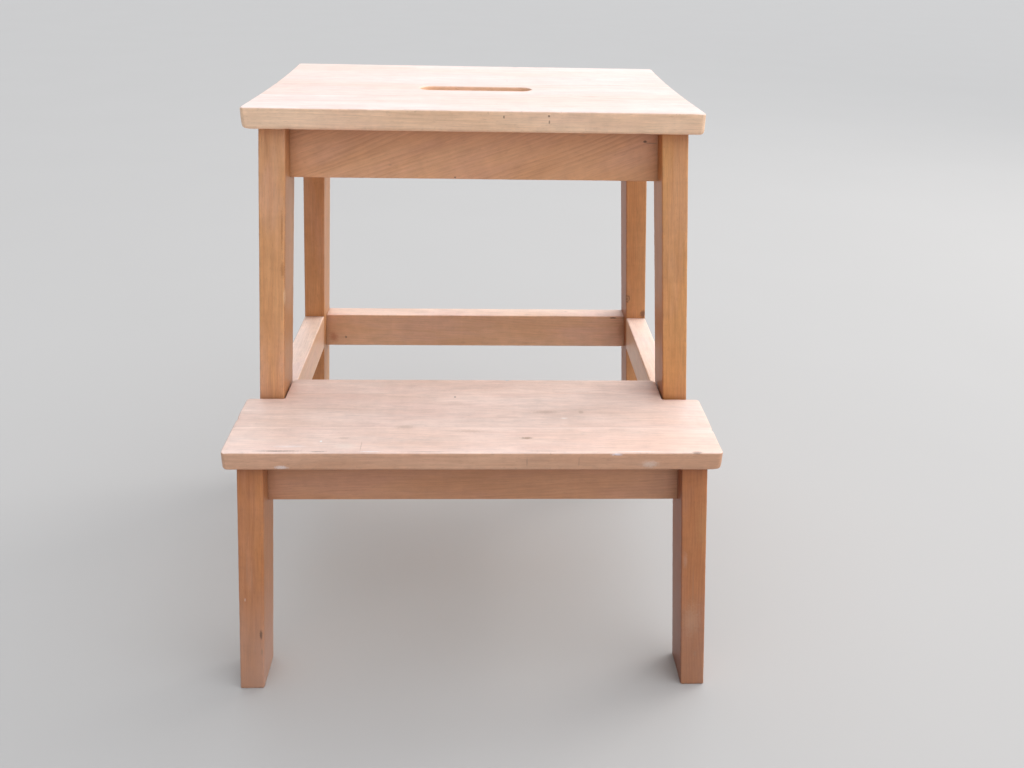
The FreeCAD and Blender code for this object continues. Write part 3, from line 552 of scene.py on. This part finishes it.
step_marks = [
    ((-126.2, -167.9, 248.5), (1.4, 1.6, 2.0), MARK_WHITE, 0.85, 0.6), ((-105.5, -175.9, 248.5), (13.0, 6.0, 3.0), (0.86, 0.72, 0.62), 0.45, 0.9),
    ((-92.5, -176.0, 248.5), (0.5, 11.0, 3.0), MARK_BROWN, 0.35, 0.6), ((-156.3, -187.2, 234.8), (7.5, 3.0, 2.6), (0.86, 0.80, 0.80), 0.55, 0.8),
    ((116.1, -187.2, 247.2), (6.5, 3.0, 1.4), (0.80, 0.80, 0.90), 0.60, 0.8), ((144.0, -187.2, 238.3), (9.0, 3.0, 5.0), (0.86, 0.75, 0.68), 0.35, 0.9),
    ((-18.1, -89.9, 248.5), (1.1, 1.6, 2.0), MARK_DARK, 0.75, 0.6), ((77.7, -128.5, 248.5), (4.2, 1.1, 2.0), MARK_WHITE, 0.55, 0.7),
    ((43.8, -162.8, 248.5), (7.0, 2.6, 3.0), MARK_BROWN, 0.80, 0.9), ((61.8, -117.8, 248.5), (17.0, 4.2, 3.0), MARK_BROWN, 0.36, 0.95),
    ((93.7, -117.6, 248.5), (3.4, 4.2, 2.0), (0.42, 0.29, 0.21), 0.50, 0.8), ((42.9, -187.2, 240.2), (0.8, 3.0, 6.0), MARK_BROWN, 0.50, 0.7),
    ((85.4, -187.2, 240.2), (0.8, 3.0, 6.0), MARK_BROWN, 0.35, 0.7), ((182.0, -185.5, 248.0), (6.0, 2.2, 1.6), MARK_DARK, 0.50, 0.7),
    ((-158.0, -183.6, 248.5), (24.0, 1.3, 2.0), (0.20, 0.13, 0.10), 0.72, 0.8), ((-126.0, -184.4, 248.5), (9.0, 0.9, 2.0), (0.24, 0.16, 0.12), 0.6, 0.8),
    # painted highlights: the two thin pale lines along the front top arris, at x -84 and x 133
    ((-84.0, -184.2, 248.5), (13.0, 1.0, 2.0), (0.92, 0.90, 0.88), 0.55, 0.8), ((133.0, -184.4, 248.5), (30.0, 0.9, 2.0), (0.95, 0.93, 0.92), 0.50, 0.9),
    ((-38.0, -184.4, 248.5), (22.0, 0.8, 2.0), (0.30, 0.20, 0.15), 0.35, 0.9), ((58.0, -183.6, 248.5), (18.0, 0.9, 2.0), (0.30, 0.20, 0.15), 0.35, 0.9),
    ((-150.0, -176.5, 248.5), (20.0, 2.4, 2.0), (0.86, 0.84, 0.88), 0.30, 0.9), ((-20.0, -104.0, 248.5), (30.0, 3.0, 3.0), MARK_BROWN, 0.14, 0.95), ((-163.2, -149.9, 248.5), (15.0, 4.0, 3.0), MARK_BROWN, 0.20, 0.95),
    ((-59.1, -144.6, 248.5), (13.0, 5.0, 3.0), MARK_BROWN, 0.30, 0.95), ((-3.9, -151.3, 248.5), (16.0, 4.5, 3.0), MARK_BROWN, 0.28, 0.95),
    ((-108.0, -163.0, 248.5), (8.0, 2.2, 3.0), MARK_BROWN, 0.34, 0.9), ((120.0, -150.0, 248.5), (20.0, 5.0, 3.0), MARK_BROWN, 0.16, 0.95),
    # painted shade: the last mark, a broad faint brown band across the back of the step under the top board
    ((-60.0, -90.0, 248.5), (26.0, 4.0, 3.0), MARK_BROWN, 0.16, 0.95), ((0.0, -64.0, 248.5), (190.0, 18.0, 3.0), MARK_BROWN, 0.10, 0.95),
]
mat = wood("wood_step_board", (1, -0.010, 0), Y, (911.0, 31.0, 12.0), (14.0, 52.0), 2.9, staves=(Y, 61.0), dirt_k=0.26, marks=step_marks, **STEP)
STEP_DENTS = [
    ((0.1795, -0.1872, 0.2480), 0.0036, 0.0010), ((0.1161, -0.1872, 0.2478), 0.0030, 0.0007), ((-0.1600, -0.1868, 0.2482), 0.0028, 0.0006),
    ((-0.1420, -0.1868, 0.2482), 0.0024, 0.0005), ((-0.0560, -0.1870, 0.2480), 0.0026, 0.0006), ((0.0429, -0.1872, 0.2410), 0.0022, 0.0004),
    ((-0.2036, -0.1300, 0.2478), 0.0032, 0.0008), ((0.2036, -0.1480, 0.2478), 0.0032, 0.0007), ((0.2008, -0.1845, 0.2340), 0.0036, 0.0010),
    ((-0.2008, -0.1845, 0.2470), 0.0034, 0.0009), ((-0.1262, -0.1679, 0.2488), 0.0020, 0.0004), ((0.0300, -0.0548, 0.2480), 0.0030, 0.0006),
    ((0.0777, -0.1285, 0.2488), 0.0020, 0.0003),
]
o = wood_piece("step_board", [(X, 0.0046), (Y, 0.0044), (Z, 0.0060)], wear=1.1, seed=7.0, dents=STEP_DENTS)
o.data.materials.clear()
o.data.materials.append(mat)

# ---------------------------------------------------------------- dowels and hardware
dowel = wood("wood_dowel", X, Y, (120.0, 3.0, 9.0), (22.0, 31.0), 1.8, light=(0.80, 0.63, 0.46), mid=(0.73, 0.55, 0.38), dark=(0.52, 0.35, 0.22),
             ring_k=0.3, fibre_k=0.4, streak_k=0.4, rough=0.65, coat=0.0)
zinc = steel("zinc_plated_steel")
for n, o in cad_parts.items():
    if n in WOOD_NODES:
        continue
    o.data.materials.clear()
    o.data.materials.append(dowel if "dowel" in n else zinc)

# ---------------------------------------------------------------- floor, light, background
me = bpy.data.meshes.new("floor")
me.from_pydata([(-60, -60, 0), (60, -60, 0), (60, 60, 0), (-60, 60, 0)], [], [(0, 1, 2, 3)])
floor = bpy.data.objects.new("floor", me)
scene.collection.objects.link(floor)
fmat = bpy.data.materials.new("floor")
t = Tree(fmat)
pos = t.new("ShaderNodeTexCoord").outputs["Object"]
g = t.noise(t.v("SCALE", pos, scale=3.0), 4.0, 0.5)
t.put(t.bsdf.inputs["Base Color"], t.mix(g, (0.440, 0.412, 0.385), (0.455, 0.427, 0.400)))
t.bsdf.inputs["Roughness"].default_value = 0.85
me.materials.append(fmat)

world = bpy.data.worlds.new("world")
scene.world = world
world.use_nodes = True
wt = world.node_tree
wt.nodes.clear()


def wmath(op, x, y):
    n = wt.nodes.new("ShaderNodeMath")
    n.operation = op
    for s, v in zip(n.inputs, (x, y)):
        if isinstance(v, bpy.types.NodeSocket):
            wt.links.new(v, s)
        else:
            s.default_value = v
    return n.outputs[0]


# an even overcast dome: cool and brightest overhead, warmer and dimmer low down, brighter from the right and from behind
SKY = ((0.0, (0.50, 0.46, 0.42)), (0.22, (0.80, 0.77, 0.74)), (0.55, (1.40, 1.46, 1.52)), (1.0, (1.74, 1.92, 2.16)))
wo = wt.nodes.new("ShaderNodeOutputWorld")
bg = wt.nodes.new("ShaderNodeBackground")
tc = wt.nodes.new("ShaderNodeTexCoord")
sp = wt.nodes.new("ShaderNodeSeparateXYZ")
rp = wt.nodes.new("ShaderNodeValToRGB")
wt.links.new(tc.outputs["Generated"], sp.inputs[0])
wt.links.new(sp.outputs[2], rp.inputs[0])
while len(rp.color_ramp.elements) < len(SKY):
    rp.color_ramp.elements.new(0.5)
for e, (p, c) in zip(rp.color_ramp.elements, SKY):
    e.position = p
    e.color = tuple(k * 0.5 for k in c) + (1.0,)
side_k = wmath("ADD", wmath("MULTIPLY", sp.outputs[0], 0.88), 1.0)
side_k = wmath("ADD", wmath("MULTIPLY", sp.outputs[1], 0.20), side_k)
light = wmath("MULTIPLY", side_k, 2.0 * 0.90)
# close to the horizon the dome runs out into one even pale tone, so that every view has the same plain background
band = wt.nodes.new("ShaderNodeMapRange")
band.interpolation_type = "SMOOTHSTEP"
wt.links.new(sp.outputs[2], band.inputs["Value"])
for k, v in (("From Min", 0.01), ("From Max", 0.10), ("To Min", 0.0), ("To Max", 1.0)):
    band.inputs[k].default_value = v
lit = wt.nodes.new("ShaderNodeVectorMath")
lit.operation = "SCALE"
wt.links.new(rp.outputs[0], lit.inputs[0])
wt.links.new(light, lit.inputs[3])
blend = wt.nodes.new("ShaderNodeMix")
blend.data_type = "RGBA"
wt.links.new(band.outputs["Result"], blend.inputs[0])
blend.inputs[6].default_value = (0.56, 0.563, 0.566, 1)
wt.links.new(lit.outputs[0], blend.inputs[7])
wt.links.new(blend.outputs[2], bg.inputs[0])
bg.inputs[1].default_value = 1.0
wt.links.new(bg.outputs[0], wo.inputs[0])


def area(name, at, look, size, power, color=(1, 1, 1)):
    l = bpy.data.lights.new(name, "AREA")
    l.shape = "RECTANGLE"
    l.size, l.size_y = size
    l.energy = power
    l.color = color
    o = bpy.data.objects.new(name, l)
    scene.collection.objects.link(o)
    o.location = at
    o.rotation_euler = (Vector(look) - Vector(at)).to_track_quat("-Z", "Y").to_euler()
    return o


area("key", (2.1, 1.0, 1.9), (0, 0, 0.25), (1.1, 0.9), 19.0, (1.0, 1.0, 1.0))

scene.view_settings.view_transform = "Standard"
scene.view_settings.look = "None"
scene.view_settings.exposure = 0.0
